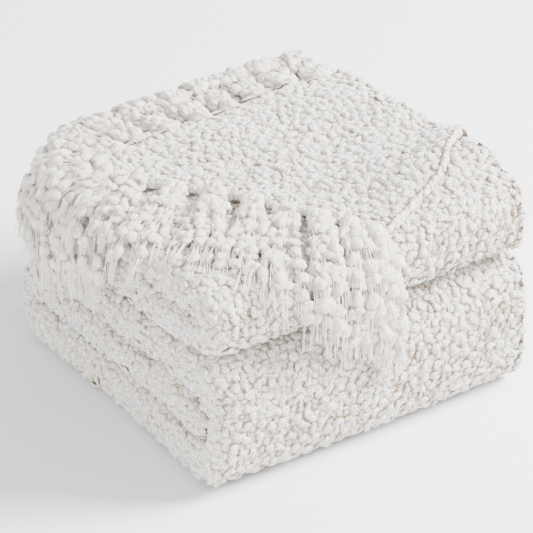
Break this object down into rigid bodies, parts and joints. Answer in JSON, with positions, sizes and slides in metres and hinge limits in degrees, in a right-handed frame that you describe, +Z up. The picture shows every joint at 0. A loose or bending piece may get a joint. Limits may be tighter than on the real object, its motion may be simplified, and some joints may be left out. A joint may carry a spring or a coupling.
{
  "type": "folded chunky knit blanket",
  "caption": "Chunky ivory bobble-yarn throw folded into a stack, with one tasselled end lying loose over the top and hanging at the sides.",
  "frame": {"origin": "on the surface the folded throw lies on, under the middle of the throw and its tassels in plan", "axes": "+Z up; -Y is the front with the two tall folds; -X is the side that shows the folded edges of the five bands"},
  "size_m": [0.3382, 0.3502, 0.2094],
  "materials": {
    "bobble_cloth": "matt ivory bobble knit, soft pile",
    "tassel_yarn": "matt cream slub yarn"
  },
  "bodies": {
    "root": {"throw_cloth": "bobble_cloth", "tassels_back": "tassel_yarn", "tassels_corner": "tassel_yarn", "tassels_side": "tassel_yarn", "tassels_front": "tassel_yarn"}
  },
  "joints": []
}
